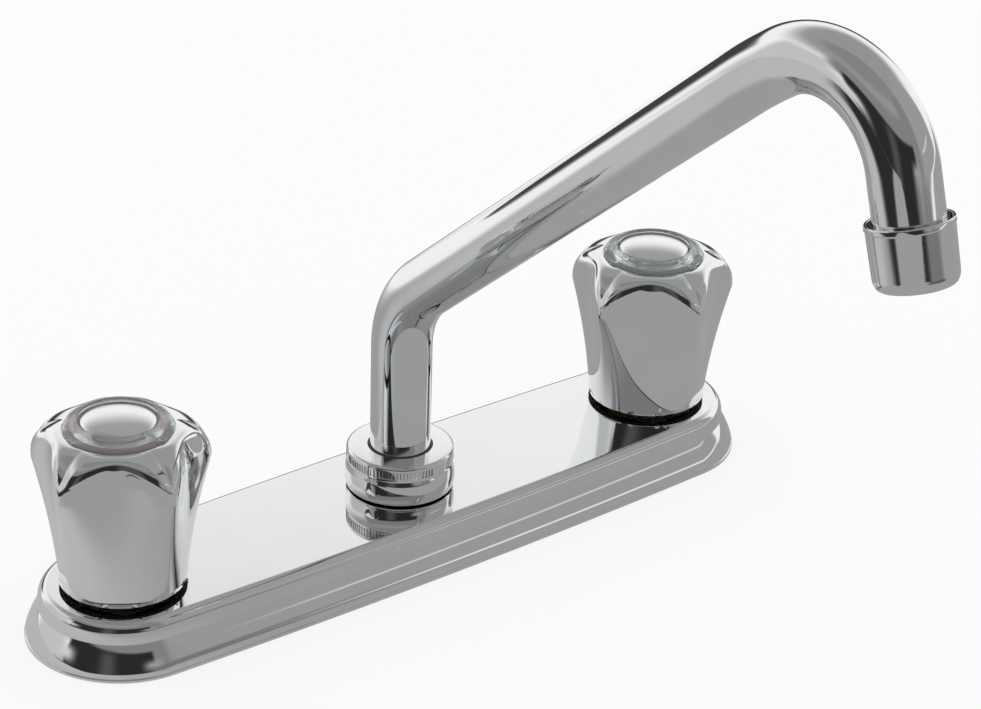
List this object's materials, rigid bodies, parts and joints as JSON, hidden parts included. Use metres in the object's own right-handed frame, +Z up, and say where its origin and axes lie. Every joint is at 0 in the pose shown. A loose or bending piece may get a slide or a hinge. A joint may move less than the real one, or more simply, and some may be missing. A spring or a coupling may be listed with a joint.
{
  "type": "two handle kitchen faucet",
  "caption": "Deck-mounted kitchen faucet with a long moulded deck plate, a lobed knob at each end and a bent swivel spout that ends in an aerator.",
  "frame": {"origin": "centre of the underside of the deck plate, on the top of the sink deck, midway between the two inlets", "axes": "+X from the hot side to the cold side, -Y towards the sink bowl where the spout points, +Z up"},
  "size_m": [0.2624, 0.2401, 0.2679],
  "materials": {
    "chrome": "polished, mirror bright",
    "brass": "machined",
    "copper": "drawn tube, slightly dulled",
    "zinc": "dull zinc plate",
    "rubber": "matt",
    "dark_plastic": "satin",
    "white_plastic": "satin",
    "ceramic": "lapped ceramic",
    "index_clear": "clear moulded",
    "index_hot": "tinted, under a clear face",
    "index_cold": "tinted, under a clear face"
  },
  "bodies": {
    "fixed_body": {"deck_plate": "chrome", "base_gasket": "rubber", "spout_hub": "brass", "cold_crossover_tube": "copper", "hot_crossover_tube": "copper", "spout_nut": "chrome", "hot_valve_body": "brass", "hot_inlet_shank": "brass", "hot_mounting_washer": "zinc", "hot_mounting_nut": "white_plastic", "hot_seat_seal": "rubber", "hot_fixed_disc": "ceramic", "hot_cartridge_housing": "brass", "hot_bonnet_nut": "brass", "cold_valve_body": "brass", "cold_inlet_shank": "brass", "cold_mounting_washer": "zinc", "cold_mounting_nut": "white_plastic", "cold_seat_seal": "rubber", "cold_fixed_disc": "ceramic", "cold_cartridge_housing": "brass", "cold_bonnet_nut": "brass"},
    "hot_handle": {"hot_knob": "chrome", "hot_stem": "brass", "hot_stem_o_ring": "rubber", "hot_moving_disc": "ceramic", "hot_handle_screw": "zinc", "hot_index_lens": "index_clear", "hot_index_ring": "index_hot", "hot_index_dome": "chrome"},
    "cold_handle": {"cold_knob": "chrome", "cold_stem": "brass", "cold_stem_o_ring": "rubber", "cold_moving_disc": "ceramic", "cold_handle_screw": "zinc", "cold_index_lens": "index_clear", "cold_index_ring": "index_cold", "cold_index_dome": "chrome"},
    "spout": {"spout_tube": "chrome", "spout_bushing": "brass", "spout_lower_o_ring": "rubber", "spout_upper_o_ring": "rubber", "spout_bearing_sleeve": "dark_plastic", "spout_end_adapter": "chrome", "aerator_housing": "chrome", "aerator_washer": "rubber", "aerator_insert": "white_plastic"}
  },
  "joints": [
    {"name": "spout_swivel", "type": "hinge", "parent": "fixed_body", "child": "spout", "pos_m": [0, 0, 0.03], "axis": [0, 0, 1], "continuous": true},
    {"name": "hot_handle_turn", "type": "hinge", "parent": "fixed_body", "child": "hot_handle", "pos_m": [-0.1016, 0, 0.03], "axis": [0, 0, 1], "range_deg": [0, 90]},
    {"name": "cold_handle_turn", "type": "hinge", "parent": "fixed_body", "child": "cold_handle", "pos_m": [0.1016, 0, 0.03], "axis": [0, 0, 1], "range_deg": [-90, 0]}
  ]
}
